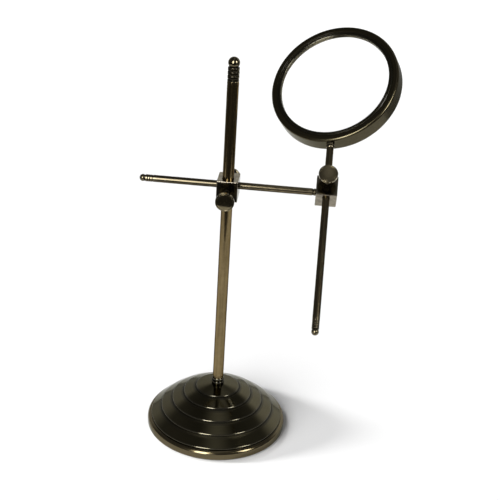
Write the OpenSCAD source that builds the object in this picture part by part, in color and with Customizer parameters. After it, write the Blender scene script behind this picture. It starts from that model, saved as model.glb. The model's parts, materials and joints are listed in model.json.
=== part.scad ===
// Stand magnifier: stepped round base, upright post, cross arm and a lens on its own rod.
// Millimetres. The origin is the middle of the base's underside, +Z runs up the post,
// +X runs along the arm towards the lens and -Y is the front.

/* [Base] */
// Outer diameter of the base, over its rim
base_d = 132; // [116:1:150]
// Height of the rim's upper edge above the table
rim_h = 9.5; // [8:0.5:12]
// Width of the rim outside the first groove
rim_w = 3.6; // [3:0.2:5]
// Number of stepped terraces below the top one
terraces = 4; // [3:1:6]
// Diameter of the top terrace
cap_d = 41.4; // [36:0.2:48]
// Slope of the lowest terrace, degrees
slope_low = 43; // [36:1:48]
// Slope of the highest stepped terrace, degrees
slope_high = 28; // [22:1:33]
// Slope of the top terrace, degrees
slope_cap = 15; // [12:1:22]
// How far each terrace's lip stands proud of the groove below it
lip_step = 1.1; // [0.8:0.1:1.5]
// Radius of each terrace's rounded lip
lip_r = 1; // [0.6:0.1:1.1]
// Wall of the spun shell
shell_t = 1.8; // [1.4:0.1:2.4]
// Thickness of the steel closing plate
plate_t = 1.6; // [1:0.1:2.5]
// Thickness of the felt under the base
felt_t = 1.6; // [1:0.1:3]

/* [Post] */
// Height of the whole stand
stand_h = 359.5; // [330:0.5:380]
// Diameter of the post
post_d = 10; // [9:0.1:11]
// Diameter of the threaded stud below the post
stud_d = 8; // [6:0.5:8.5]
// Height of the beaded collar at the post's foot
collar_h = 7; // [4:0.5:8]
// How far the collar stands out past the post
collar_w = 0.9; // [0.6:0.1:1.6]

/* [Arm and lens rod] */
// Diameter of the cross arm
arm_d = 6.3; // [5.8:0.1:6.8]
// Height of the arm's axis above the table
arm_h = 242.5; // [200:0.5:280]
// Length of the arm to the left of the post
arm_left = 79.6; // [60:0.2:100]
// Distance from the post to the middle of the lens clamp
lens_x = 86; // [76:0.5:110]
// Diameter of the arm's reduced end, inside the lens clamp
spigot_d = 5; // [4:0.2:5.4]
// Length of that reduced end
spigot_len = 14; // [10:0.5:15]
// Diameter of the lens rod
rod_d = 6.3; // [5.8:0.1:6.8]
// Length of the lens rod below the arm's level
rod_down = 133.7; // [110:0.1:150]
// Distance from the arm's level to the middle of the lens
lens_up = 103.8; // [96:0.2:120]
// Backward lean of the lens and its rod, degrees
tilt = 47; // [0:0.5:60]
// Turn of the lens about its rod, degrees
twist = 19.4; // [0:0.1:40]

/* [Clamps] */
// Width and height of each clamp block
block_w = 18.6; // [16:0.2:22]
// Metal in front of the post, which holds its screw
post_wall = 3; // [2.5:0.1:4]
// Metal between the post and the arm
cross_web = 1.35; // [1.2:0.05:3]
// Metal behind the arm, which holds its screw
arm_wall = 3.1; // [2:0.1:4]
// Metal in front of the lens rod, which holds its screw
rod_wall = 2.4; // [2:0.1:4]
// Metal between the lens rod and the arm's end
lens_web = 3.2; // [2:0.1:5]
// Metal behind the arm's end
end_wall = 4.8; // [3:0.1:7]
// Radial play of the bars in their bores
play = 0.06; // [0.03:0.01:0.09]
// Width of the eased edges
ease = 0.6; // [0.3:0.1:1]

/* [Thumb screws] */
// Diameter of the screw's thread
screw_d = 4; // [3:0.1:4.4]
// Pitch of the thread
screw_pitch = 0.8; // [0.6:0.1:1]
// Diameter of the knob
knob_d = 16.6; // [14:0.2:19]
// Thickness of the knob
knob_t = 4.8; // [4:0.1:6]
// Distance from the block's face to the back of the knob
knob_gap = 10.8; // [8:0.1:14]
// Diameter of the neck behind the knob
neck_d = 6.4; // [6:0.1:8]
// Length of thread that shows between the block and the neck
thread_show = 3; // [2:0.1:5]
// How far the post's screw sits below the middle of its block
post_screw_drop = 3.9; // [0:0.1:5]
// How far the rod's screw sits above the middle of its block
rod_screw_rise = 4.3; // [0:0.1:5]

/* [Lens] */
// Outer diameter of the lens frame
frame_d = 119.2; // [112:0.2:126]
// Metal of the lens frame around its front retaining ring
frame_wall = 5.8; // [5.4:0.1:8]
// Thickness of the lens frame, front to back
frame_t = 16.1; // [14:0.1:19]
// How far the frame's front stands ahead of its rod's axis
frame_front = 5.3; // [4.6:0.1:6.5]
// Wall of the frame's skirt, behind the glass
skirt_w = 2.8; // [2:0.1:4]
// Width of the front retaining ring
retainer_w = 3.4; // [2.4:0.1:4]
// Radius of the frame's rounded front shoulder
shoulder_r = 2.2; // [1:0.1:2.6]
// Thickness of the glass at its edge
glass_edge = 2; // [1.5:0.1:3]
// Radius of curvature of each face of the glass
glass_curve = 340; // [300:5:420]

/* [Hidden] */
$fn = 96;
bronze_dark = [0.20, 0.18, 0.13];
bronze_mid = [0.34, 0.30, 0.22];
bronze_light = [0.47, 0.42, 0.32];
iron = [0.25, 0.25, 0.25];
steel = [0.6, 0.6, 0.6];

// Gap between faces that meet but turn on each other
rest_gap = 0.05;
// Radial gap of soldered, screwed or pressed round pieces of one body
seat_gap = 0.04;
arc_step = 22.5;

// Base
base_r = base_d / 2;
rim_seat = 1.4;
rim_wall = 5.4;
rim_lift = 0.6;
rim_lap = 0.3;
rim_flange = 5.4;
groove_w = 0.7;
groove_rise = 0.25;
groove_r0 = base_r - rim_w;
cap_r = cap_d / 2;
plate_top = felt_t + plate_t;
felt_inset = 0.8;
weight_r = groove_r0 - rim_flange;
collar_r = post_d / 2 + collar_w;
neck_margin = 0.7;
dome_neck_r = collar_r + neck_margin;
boss_t = 3.4;
stud_play = 0.1;
weight_slack = 0.3;
function slope(k) = slope_low + (slope_high - slope_low) * k / (terraces - 1);
function cos_sum(k) = k < 0 ? 0 : cos(slope(k)) + cos_sum(k - 1);
terrace_len = (groove_r0 - cap_r) / cos_sum(terraces - 1);
cap_len = (cap_r - dome_neck_r) / cos(slope_cap);
function uphill(a) = [-cos(a), sin(a)];
function outward(a) = [sin(a), cos(a)];
// Bottom of groove k, counted from the rim inwards
function foot(k) = k == 0 ? [groove_r0, rim_h] : foot(k - 1) + terrace_len * uphill(slope(k - 1));
dome_top = foot(terraces)[1] + cap_len * sin(slope_cap);
function mean_slope(k) = k == terraces ? (slope_high + slope_cap) / 2 : (slope(k - 1) + slope(k)) / 2;
// The same point on the shell's inner face, or further in
function inner_foot(k, depth) = foot(k) - depth * outward(k == 0 ? 90 : mean_slope(k));
// One terrace of slope a and length len, from the groove at p up to the next groove
function terrace(p, a, len) = concat(
    [p + groove_w / 2 * uphill(a)],
    [for (t = [0:arc_step:90])
        p + (groove_w / 2 + lip_r) * uphill(a) + (lip_step - lip_r) * outward(a)
        + lip_r * (sin(t) * outward(a) - cos(t) * uphill(a))],
    [p + (len - groove_w / 2) * uphill(a) + groove_rise * outward(a)],
    [p + (len - groove_w / 2) * uphill(a)]);

// Foot of the post, under the dome
washer_t = 1.6;
nut_h = 6.5;
stud_past = 1.2;
stud_low = plate_top + 1.4;
nut_low = stud_low + stud_past;
washer_low = nut_low + nut_h + rest_gap;
recess_top = washer_low + washer_t + rest_gap;
recess_r = 12;
washer_r = 10;
nut_flats = 13;

// Post and bars
post_r = post_d / 2;
arm_r = arm_d / 2;
rod_r = rod_d / 2;
post_low = dome_top + rest_gap;
// A turned finial has a narrow ring, three beads and a ball, all no wider than its bar
function ring_len(r) = 0.32 * r;
function bead_len(r) = 0.68 * r;
function ball_len(r) = 1.64 * r;
function finial_len(r) = ring_len(r) + 3 * bead_len(r) + ball_len(r) + 0.1 * r;
function tenon_r(r) = 0.5 * r;
function tenon_len(r) = 1.6 * r;
post_high = stand_h - finial_len(post_r);

// Clamp blocks. Each bore is placed by the metal around it.
arm_y = post_r + cross_web + arm_r;
post_block_front = post_r + post_wall;
post_block_back = arm_y + arm_r + arm_wall;
rod_y = arm_r + lens_web + rod_r;
lens_block_front = rod_y + rod_r + rod_wall;
lens_block_back = arm_r + end_wall;
arm_end = lens_x - block_w / 2 - rest_gap;

// Thumb screws
screw_r = screw_d / 2;
thread_depth = 0.35;
knob_r = knob_d / 2;
knob_bore = knob_gap - thread_show + knob_t - 2;
tip_gap = 0.15;

// Lens
frame_r = frame_d / 2;
// The opening is what the frame's wall and the retaining ring leave
clear_r = frame_r - frame_wall - retainer_w;
thread_r = clear_r + retainer_w;
// Inner edge of the web behind the glass, hidden by the retaining ring
seat_r = clear_r + 1.4;
web_t = 1.8;
glass_inset = 0.6;
glass_r = thread_r - glass_inset;
// How far a face of the glass stands above its own edge, at radius r
function glass_rise(r) = sqrt(glass_curve * glass_curve - r * r)
    - sqrt(glass_curve * glass_curve - glass_r * glass_r);
rod_top = lens_up - frame_r - rest_gap;
tenon_depth = 4;
ferrule_h = 4.6;
ferrule_w = 0.55;

// Places

module at_arm() {
    translate([0, arm_y, arm_h])
        rotate([0, 90, 0])
            children();
}

module at_lens_clamp() {
    translate([lens_x, arm_y, arm_h])
        rotate([-tilt, 0, 0])
            children();
}

module at_rod() {
    at_lens_clamp()
        translate([0, -rod_y, 0])
            children();
}

module at_lens() {
    at_rod()
        translate([0, 0, lens_up])
            rotate([0, 0, -twist])
                rotate([90, 0, 0])
                    children();
}

// The screw places have +Z outwards and start on the block's face
module at_post_screw() {
    translate([0, -post_block_front, arm_h - post_screw_drop])
        rotate([90, 0, 0])
            children();
}

module at_arm_screw() {
    translate([0, post_block_back, arm_h])
        rotate([-90, 0, 0])
            children();
}

module at_rod_screw() {
    at_lens_clamp()
        translate([0, -lens_block_front, rod_screw_rise])
            rotate([90, 0, 0])
                children();
}

// Shared shapes

module turned(points) {
    rotate_extrude()
        polygon(points);
}

function eased(x0, x1, y0, y1, e) = [
    [x0 + e, y0], [x1 - e, y0], [x1, y0 + e], [x1, y1 - e],
    [x1 - e, y1], [x0 + e, y1], [x0, y1 - e], [x0, y0 + e]];

// A square-sided block from y0 to y1 with every edge eased
module eased_block(w, y0, y1, h) {
    intersection() {
        translate([0, 0, -h / 2])
            linear_extrude(h)
                polygon(eased(-w / 2, w / 2, y0, y1, ease));
        rotate([90, 0, 90])
            translate([0, 0, -w / 2])
                linear_extrude(w)
                    polygon(eased(y0, y1, -h / 2, h / 2, ease));
        translate([0, y1, 0])
            rotate([90, 0, 0])
                linear_extrude(y1 - y0)
                    polygon(eased(-w / 2, w / 2, -h / 2, h / 2, ease));
    }
}

// One bead of a finial, from z to z + len, on a bar of radius r
function bead(r, z, len) = [for (t = [-67.5:arc_step:67.5])
    [r - 0.14 * r + 0.14 * r * cos(t), z + len / 2 + (len / 2 - 0.03 * r) * sin(t) / sin(67.5)]];

// The finial stands on z = 0 and has a tenon below it
module finial(r) {
    first = 0.05 * r + ring_len(r);
    beads = [for (i = [0:2]) each concat(
        [[0.78 * r, first + i * bead_len(r)]],
        bead(r, first + i * bead_len(r), bead_len(r)),
        [[0.78 * r, first + (i + 1) * bead_len(r)]])];
    ball_mid = finial_len(r) - r;
    ball = [for (t = [-38.25:11.25:84]) [r * cos(t), ball_mid + r * sin(t)]];
    low = -tenon_len(r);
    tenon = tenon_r(r) - seat_gap;
    turned(concat(
        [[0, low], [tenon - 0.3, low], [tenon, low + 0.3], [tenon, 0], [r, 0]],
        [[r, ring_len(r) - 0.1 * r], [0.9 * r, ring_len(r)]],
        beads,
        [[0.78 * r, finial_len(r) - ball_len(r) - 0.02 * r]],
        ball,
        [[0, finial_len(r)]]));
}

// The hole in a bar's end for the finial's tenon, downwards from z = 0
module tenon_hole(r) {
    translate([0, 0, -tenon_len(r) - 0.2])
        cylinder(r = tenon_r(r), h = tenon_len(r) + 1);
}

// Turned knob with a raised rim round a shallow dish
module thumb_knob() {
    back = knob_gap;
    front = knob_gap + knob_t;
    round_r = 1.1;
    dish = 0.6;
    rim = 1.5;
    back_cone = 0.8;
    waist_r = neck_d / 2 - 0.7;
    waist_low = back - 2.2;
    waist_high = back - 1.4;
    bore_r = screw_r + seat_gap;
    neck_low = thread_show;
    neck_round = 0.5;
    back_edge = [for (t = [-90:arc_step:0])
        [knob_r - round_r + round_r * cos(t), back + back_cone + round_r + round_r * sin(t)]];
    front_edge = [for (t = [0:arc_step:90])
        [knob_r - round_r + round_r * cos(t), front - round_r + round_r * sin(t)]];
    turned(concat(
        [[bore_r, neck_low], [neck_d / 2 - neck_round, neck_low], [neck_d / 2, neck_low + neck_round]],
        [[neck_d / 2, waist_low], [waist_r, waist_high], [neck_d / 2 + neck_round, back]],
        back_edge,
        front_edge,
        [[knob_r - rim, front - 0.1], [knob_r - rim - 0.7, front - dish], [0, front - dish - 0.2]],
        [[0, neck_low + knob_bore], [bore_r, neck_low + knob_bore]]));
}

// Threaded stud; reach is the depth from the block's face to its tip
module thumb_stud(reach) {
    tip = 0.6;
    top = thread_show + knob_bore - tip_gap;
    turns = floor((reach + thread_show - tip) / screw_pitch);
    thread = [for (i = [0:turns - 1]) each [
        [screw_r - thread_depth, -reach + tip + i * screw_pitch],
        [screw_r, -reach + tip + (i + 0.5) * screw_pitch]]];
    turned(concat(
        [[0, -reach], [screw_r - tip, -reach]],
        thread,
        [[screw_r - thread_depth, -reach + tip + turns * screw_pitch]],
        [[screw_r, top], [0, top]]));
}

module screw_hole(depth) {
    translate([0, 0, -depth])
        cylinder(r = screw_r + play, h = depth + 1);
}

// Base

module base_shell() {
    seat = [groove_r0 - rim_lap, rim_h - rim_seat];
    bore = stud_d / 2 + stud_play;
    cap_start = foot(terraces);
    color(bronze_dark)
        turned(concat(
            [seat],
            [for (k = [0:terraces - 1]) each terrace(foot(k), slope(k), terrace_len)],
            [for (p = terrace(cap_start, slope_cap, cap_len)) if (p[0] > dome_neck_r + groove_w) p],
            [[dome_neck_r, dome_top], [bore, dome_top]],
            [[bore, dome_top - boss_t], [dome_neck_r, dome_top - boss_t]],
            [for (k = [terraces:-1:1]) inner_foot(k, shell_t)],
            [inner_foot(0, shell_t + rim_lap), [seat[0] - shell_t, seat[1]]]));
}

// Rounded rim, with a groove round its inner edge and a flange that the shell stands on
module base_rim() {
    inner = weight_r + weight_slack - 0.1;
    bulge = [for (t = [0:15:75])
        [base_r - rim_w + rim_w * cos(t), rim_wall + (rim_h - rim_wall) * sin(t)]];
    groove_out = groove_r0 + 0.15;
    groove_in = groove_r0 - rim_lap + 0.05 + seat_gap;
    groove_low = rim_h - 0.8;
    color(bronze_light)
        turned(concat(
            [[inner, rim_lift], [base_r - 1, rim_lift], [base_r, rim_lift + 1]],
            bulge,
            [[groove_out, rim_h], [groove_out, groove_low]],
            [[groove_in, groove_low], [groove_in, rim_h - rim_seat]],
            [[inner, rim_h - rim_seat]]));
}

// Cast weight that fills the shell, with a recess for the nut
module base_weight() {
    bore = stud_d / 2 + 2 * stud_play;
    low_in = inner_foot(0, shell_t + rim_lap);
    high_in = inner_foot(1, shell_t);
    share = (low_in[0] - weight_r) / (low_in[0] - high_in[0]);
    shoulder_z = low_in[1] + share * (high_in[1] - low_in[1]) - 2 * weight_slack;
    color(iron)
        turned(concat(
            [[recess_r, plate_top], [weight_r - weight_slack, plate_top]],
            [[weight_r - weight_slack, shoulder_z]],
            [for (k = [1:terraces]) inner_foot(k, shell_t + weight_slack)],
            [[dome_neck_r, dome_top - boss_t], [bore, dome_top - boss_t]],
            [[bore, recess_top], [recess_r, recess_top]]));
}

module base_plate() {
    color(steel)
        translate([0, 0, felt_t])
            cylinder(r = weight_r, h = plate_t);
}

module felt_pad() {
    color([0.08, 0.16, 0.10])
        cylinder(r = weight_r - felt_inset, h = felt_t);
}

// Post

module post() {
    color(bronze_mid)
        difference() {
            turned([[0, stud_low], [stud_d / 2 - 0.8, stud_low], [stud_d / 2, stud_low + 0.8],
                [stud_d / 2, post_low], [post_r, post_low], [post_r, post_high], [0, post_high]]);
            translate([0, 0, post_high])
                tenon_hole(post_r);
        }
}

module post_finial() {
    color(bronze_mid)
        translate([0, 0, post_high])
            finial(post_r);
}

// Two turned beads around the foot of the post
module post_collar() {
    low = dome_top;
    half = collar_h / 2;
    bore = post_r + seat_gap;
    small = collar_r - 0.3;
    color(bronze_mid)
        turned(concat(
            [[bore, low], [collar_r - 0.5, low]],
            [for (t = [-67.5:arc_step:67.5])
                [collar_r - 0.6 + 0.6 * cos(t), low + half / 2 + (half / 2 - 0.15) * sin(t)]],
            [[collar_r - 0.7, low + half]],
            [for (t = [-67.5:arc_step:67.5])
                [small - 0.5 + 0.5 * cos(t), low + 1.5 * half + (half / 2 - 0.15) * sin(t)]],
            [[small - 0.55, low + collar_h], [bore, low + collar_h]]));
}

module post_washer() {
    color(steel)
        translate([0, 0, washer_low])
            difference() {
                cylinder(r = washer_r, h = washer_t);
                translate([0, 0, -1])
                    cylinder(r = stud_d / 2 + 0.2, h = washer_t + 2);
            }
}

module post_nut() {
    color(steel)
        translate([0, 0, nut_low])
            difference() {
                cylinder(r = nut_flats / 2 / cos(30), h = nut_h, $fn = 6);
                translate([0, 0, -1])
                    cylinder(r = stud_d / 2 + seat_gap, h = nut_h + 2);
            }
}

// Post clamp: the post runs up through it, and the arm crosses behind the post

module post_clamp_block() {
    color(bronze_dark)
        difference() {
            translate([0, 0, arm_h])
                eased_block(block_w, -post_block_front, post_block_back, block_w);
            translate([0, 0, arm_h - block_w])
                cylinder(r = post_r + play, h = 2 * block_w);
            at_arm()
                translate([0, 0, -block_w])
                    cylinder(r = arm_r + play, h = 2 * block_w);
            at_post_screw()
                screw_hole(post_block_front);
            at_arm_screw()
                screw_hole(post_block_back - arm_y);
        }
}

module post_screw_knob() {
    color(bronze_light)
        at_post_screw()
            thumb_knob();
}

module post_screw_stud() {
    color(steel)
        at_post_screw()
            thumb_stud(post_wall - tip_gap);
}

module arm_screw_knob() {
    color(bronze_light)
        at_arm_screw()
            thumb_knob();
}

module arm_screw_stud() {
    color(steel)
        at_arm_screw()
            thumb_stud(arm_wall - tip_gap);
}

// Arm

module arm() {
    left = -arm_left + finial_len(arm_r);
    spigot_r = spigot_d / 2;
    tip = arm_end + spigot_len;
    edge = 0.4;
    mark = arm_end - 2.2;
    mark_w = 0.6;
    mark_r = arm_r - 0.5;
    color(bronze_mid)
        at_arm()
            difference() {
                turned([[0, left], [arm_r, left], [arm_r, mark - mark_w],
                    [mark_r, mark - mark_w / 3], [mark_r, mark + mark_w / 3],
                    [arm_r, mark + mark_w], [arm_r, arm_end - edge], [arm_r - edge, arm_end],
                    [spigot_r, arm_end], [spigot_r, tip - edge], [spigot_r - edge, tip], [0, tip]]);
                translate([0, 0, left])
                    rotate([180, 0, 0])
                        tenon_hole(arm_r);
            }
}

module arm_finial() {
    color(bronze_mid)
        at_arm()
            translate([0, 0, -arm_left + finial_len(arm_r)])
                rotate([180, 0, 0])
                    finial(arm_r);
}

// Lens clamp: closed on its far side, over the arm's reduced end

module lens_clamp_block() {
    color(bronze_dark)
        difference() {
            at_lens_clamp()
                eased_block(block_w, -lens_block_front, lens_block_back, block_w);
            at_lens_clamp()
                translate([0, -rod_y, -block_w])
                    cylinder(r = rod_r + play, h = 2 * block_w);
            at_arm()
                translate([0, 0, arm_end - 1])
                    cylinder(r = spigot_d / 2 + play, h = spigot_len + 1.3);
            at_rod_screw()
                screw_hole(lens_block_front - rod_y);
        }
}

module rod_screw_knob() {
    color(bronze_light)
        at_rod_screw()
            thumb_knob();
}

module rod_screw_stud() {
    color(steel)
        at_rod_screw()
            thumb_stud(rod_wall - tip_gap);
}

// Lens rod and lens

module lens_rod() {
    low = -rod_down + finial_len(rod_r);
    color(bronze_mid)
        at_rod()
            difference() {
                turned([[0, low], [rod_r, low], [rod_r, rod_top], [tenon_r(rod_r), rod_top],
                    [tenon_r(rod_r), rod_top + tenon_depth], [0, rod_top + tenon_depth]]);
                translate([0, 0, low])
                    rotate([180, 0, 0])
                        tenon_hole(rod_r);
            }
}

module rod_finial() {
    color(bronze_mid)
        at_rod()
            translate([0, 0, -rod_down + finial_len(rod_r)])
                rotate([180, 0, 0])
                    finial(rod_r);
}

module rod_ferrule() {
    top = rod_top - 0.15;
    low = top - ferrule_h;
    out = rod_r + ferrule_w;
    bore = rod_r + seat_gap;
    color(bronze_mid)
        at_rod()
            turned(concat(
                [[bore, low], [out - 0.4, low]],
                [for (t = [-67.5:arc_step:67.5])
                    [out - 0.45 + 0.45 * cos(t), low + ferrule_h * (0.3 + 0.28 * sin(t))]],
                [[out - 0.4, low + 0.6 * ferrule_h], [out, low + 0.64 * ferrule_h]],
                [[out, top - 0.2], [out - 0.2, top], [bore, top]]));
}

// Deep round frame: a web in front carries the glass, and a skirt runs back behind it
module lens_frame() {
    back = frame_front - frame_t;
    ledge = -glass_edge / 2 - rest_gap;
    sill = ledge - glass_rise(seat_r) - rest_gap;
    web_back = sill - web_t;
    skirt_r = frame_r - skirt_w;
    skirt_top = web_back - 0.7 * (skirt_r - seat_r);
    edge = 0.4;
    shoulder = [for (t = [0:arc_step:90])
        [frame_r - shoulder_r + shoulder_r * cos(t), frame_front - shoulder_r + shoulder_r * sin(t)]];
    color(bronze_mid)
        difference() {
            at_lens()
                turned(concat(
                    [[seat_r, web_back + edge], [seat_r + edge, web_back], [skirt_r, skirt_top]],
                    [[skirt_r, back + edge], [skirt_r + edge, back]],
                    [[frame_r - 2 * edge, back], [frame_r, back + 2 * edge]],
                    shoulder,
                    [[thread_r + 0.9, frame_front], [thread_r + 0.6, frame_front - 0.35]],
                    [[thread_r + seat_gap, frame_front - 0.35], [thread_r + seat_gap, ledge]],
                    [[glass_r, ledge], [seat_r, sill]]));
            at_rod()
                translate([0, 0, rod_top - 1])
                    cylinder(r = tenon_r(rod_r) + play, h = tenon_depth + 1.3);
        }
}

// Threaded ring that holds the glass, with fine turned grooves on its face
module lens_retainer() {
    face = frame_front;
    low = glass_edge / 2 + rest_gap;
    sill = low + glass_rise(clear_r) + rest_gap;
    lip = 0.3;
    color(bronze_dark)
        at_lens()
            turned([[clear_r, sill], [glass_r, low], [thread_r, low], [thread_r, face - lip],
                [thread_r - lip, face], [thread_r - 0.9, face], [thread_r - 1.1, face - 0.4],
                [thread_r - 1.4, face - 0.4], [thread_r - 1.6, face - 0.1], [clear_r + 1.4, face - 0.2],
                [clear_r + 1.2, face - 0.6], [clear_r, sill + lip]]);
}

// Magnifying lens, domed on both faces
module lens_glass() {
    steps = 16;
    face = [for (i = [1:steps]) glass_r * (steps - i) / steps];
    color([0.85, 0.93, 0.95, 0.35])
        at_lens()
            turned(concat(
                [for (i = [steps - 1:-1:0]) [face[i], -glass_edge / 2 - glass_rise(face[i])]],
                [[glass_r, -glass_edge / 2], [glass_r, glass_edge / 2]],
                [for (r = face) [r, glass_edge / 2 + glass_rise(r)]]));
}

base_shell();
base_rim();
base_weight();
base_plate();
felt_pad();
post();
post_finial();
post_collar();
post_washer();
post_nut();
post_clamp_block();
post_screw_knob();
post_screw_stud();
arm_screw_knob();
arm_screw_stud();
arm();
arm_finial();
lens_clamp_block();
rod_screw_knob();
rod_screw_stud();
lens_rod();
rod_finial();
rod_ferrule();
lens_frame();
lens_retainer();
lens_glass();
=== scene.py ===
"""Looks of a stand magnifier in antique bronze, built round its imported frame.

Shapes are written in millimetres and made in metres, in the frame's own axes: the origin is the middle of
the base's underside, +Z runs up the post, +X along the arm towards the lens and -Y is the front.
"""

import json
import math

import bmesh
import bpy
import numpy as np
from mathutils import Matrix, Vector


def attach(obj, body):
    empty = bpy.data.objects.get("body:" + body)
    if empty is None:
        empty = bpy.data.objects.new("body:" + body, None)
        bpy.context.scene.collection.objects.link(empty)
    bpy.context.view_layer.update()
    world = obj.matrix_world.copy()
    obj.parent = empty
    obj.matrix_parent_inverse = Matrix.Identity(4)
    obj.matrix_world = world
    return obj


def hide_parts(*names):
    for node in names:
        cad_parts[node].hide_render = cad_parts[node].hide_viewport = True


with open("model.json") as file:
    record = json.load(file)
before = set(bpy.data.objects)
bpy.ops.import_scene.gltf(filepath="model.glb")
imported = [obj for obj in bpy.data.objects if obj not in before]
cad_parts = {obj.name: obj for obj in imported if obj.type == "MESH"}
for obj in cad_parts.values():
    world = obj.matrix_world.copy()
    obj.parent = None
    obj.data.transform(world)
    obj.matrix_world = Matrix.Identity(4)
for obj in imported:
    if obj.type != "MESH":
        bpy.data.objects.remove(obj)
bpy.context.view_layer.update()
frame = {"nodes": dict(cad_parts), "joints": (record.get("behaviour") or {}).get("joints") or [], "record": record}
JOINTS = {joint["name"]: joint for joint in frame["joints"]}
BODY_OF = {node: body for body, nodes in frame["record"]["behaviour"]["bodies"].items() for node in nodes}

MM = 0.001
# Corners that turn at least this much are seen as edges, and are softened as if they turned SHARPEST at most
CORNER = math.radians(24)
SHARPEST = math.radians(150)
# The most of a straight stretch that one softened corner takes
CUT_SHARE = 0.42
# Radians of bend within reach that leave the metal fully worn or fully grimy
FULL_WEAR = 1.1
FULL_GRIME = 0.8

# Base
BASE_R = 66
RIM_H = 9.5
RIM_W = 3.6
RIM_LIFT = 0.6
# The height at which the rim is widest
RIM_WIDEST = 5.4
# How deep the shell stands in the rim, and how far inside the lowest groove
RIM_SEAT = 1.4
RIM_LAP = 0.3
RIM_FLANGE = 5.4
TERRACES = 4
CAP_R = 20.7
SLOPE_LOW = 43
SLOPE_HIGH = 28
SLOPE_CAP = 15
LIP_STEP = 1.1
LIP_R = 1
GROOVE_W = 0.7
GROOVE_RISE = 0.25
GROOVE_R = BASE_R - RIM_W
FLANGE_R = GROOVE_R - RIM_FLANGE
SHELL_T = 1.8
BOSS_T = 3.4
FELT_T = 1.6
FELT_INSET = 0.8

# Post, arm and lens rod
POST_R = 5
STUD_R = 4
STUD_PLAY = 0.1
STUD_LOW = 4.6
ARM_R = 3.15
ROD_R = 3.15
COLLAR_H = 7
COLLAR_R = POST_R + 0.9
NECK_R = COLLAR_R + 0.7
STAND_H = 359.5
ARM_Y = 9.5
ARM_Z = 242.5
ARM_LEFT = 79.6
LENS_X = 86
ROD_Y = 9.5
ROD_DOWN = 133.7
LENS_UP = 103.8
TWIST = 19.4
# The arm is painted lighter towards the lens, as rubbed-off patina and as a painted highlight, starting here and
# fully after this length
BARE_AND_SHEEN_FROM = 5
BARE_AND_SHEEN_OVER = 35
REST_GAP = 0.05
SEAT_GAP = 0.04

# Finials, in shares of their bar's radius; the ball is measured from the neck below it to its top
FINIAL_H = 4.1
FINIAL_RING = 0.32
FINIAL_BEAD = 0.68
FINIAL_NECK = 0.78
FINIAL_BALL = 1.66
TENON_R = 0.5
TENON_LEN = 1.6

# The bead between the lens rod and the frame
FERRULE_H = 4.6
FERRULE_WALL = 0.55

# Clamp blocks
BLOCK_W = 18.6
BLOCK_EASE = 0.6
PLAY = 0.06
# How far a bore's mouth is opened
FLARE = 0.35
POST_FRONT = 8
POST_BACK = 15.75
LENS_FRONT = 15.05
LENS_BACK = 7.95
SPIGOT_R = 2.5
SPIGOT_LEN = 14
SPIGOT_ROOM = 0.25
POST_SCREW_DROP = 3.9
ROD_SCREW_RISE = 4.3
# How far wear reaches over the edges and round the mouths, and grime into the bores
EDGE_WEAR = 1.6
MOUTH_WEAR = 0.5
BORE_GRIME = 0.2

# Thumb screws: the wall that each goes through, and how it is turned at rest, in degrees
SCREWS = {"post_screw": (3, 20), "arm_screw": (3.1, 75), "rod_screw": (2.4, 140)}
SCREW_R = 2
PITCH = 0.8
THREAD_DEPTH = 0.35
THREAD_SHOW = 3
# Left free at both ends of a stud
TIP_GAP = 0.15
KNOB_R = 8.3
KNOB_T = 4.8
KNOB_GAP = 10.8
KNOB_NECK_R = 3.2
# The metal in front of the stud, and the rise of the knob's face
KNOB_FACE_T = 2
KNOB_CROWN = 0.45

# Lens
FRAME_R = 59.6
FRAME_T = 16.1
FRAME_FRONT = 5.3
SKIRT_W = 2.8
THREAD_R = 53.8
CLEAR_R = 50.4
SEAT_R = CLEAR_R + 1.4
WEB_T = 1.8
GLASS_R = THREAD_R - 0.6
GLASS_EDGE = 2
GLASS_CURVE = 340
SHOULDER_R = 2.2
LIP_BEND = 0.6


# Profiles: lists of (radius, height) from the axis or the inner face, outwards and up, metal on the left


def limit(value):
    """The value, kept between 0 and 1."""
    return min(max(value, 0), 1)


def arc(mid, radius, start, end, steps, squash=1.0):
    """Points of an arc, in degrees; squash scales its height."""
    turns = [math.radians(start + (end - start) * i / steps) for i in range(steps + 1)]
    return [(mid[0] + radius * math.cos(t), mid[1] + squash * radius * math.sin(t)) for t in turns]


def unit(a, b):
    """Direction from a to b, and their distance."""
    d = (b[0] - a[0], b[1] - a[1])
    length = math.hypot(*d)
    return (d[0] / length, d[1] / length), length


def turn_at(a, b, c):
    """How far the profile turns left at b."""
    (u, _), (v, _) = unit(a, b), unit(b, c)
    return math.atan2(u[0] * v[1] - u[1] * v[0], u[0] * v[0] + u[1] * v[1])


def soften(points, radius, closed=False, steps=5):
    """Breaks each sharp corner of a profile with a small arc; repeated points are dropped."""
    points = [p for i, p in enumerate(points) if i == 0 or math.dist(p, points[i - 1]) > 1e-3]
    count = len(points)
    out = []
    for index, b in enumerate(points):
        if not closed and index in (0, count - 1):
            out.append(b)
            continue
        a, c = points[index - 1], points[(index + 1) % count]
        turn = turn_at(a, b, c)
        if abs(turn) < CORNER:
            out.append(b)
            continue
        (u, before), (v, after) = unit(a, b), unit(b, c)
        half = math.tan(min(abs(turn), SHARPEST) / 2)
        cut = min(radius * half, CUT_SHARE * before, CUT_SHARE * after)
        for k in range(steps + 1):
            t = k / steps
            out.append(tuple(b[i] - cut * u[i] * (1 - t) ** 2 + cut * v[i] * t ** 2 for i in (0, 1)))
    return out


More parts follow.
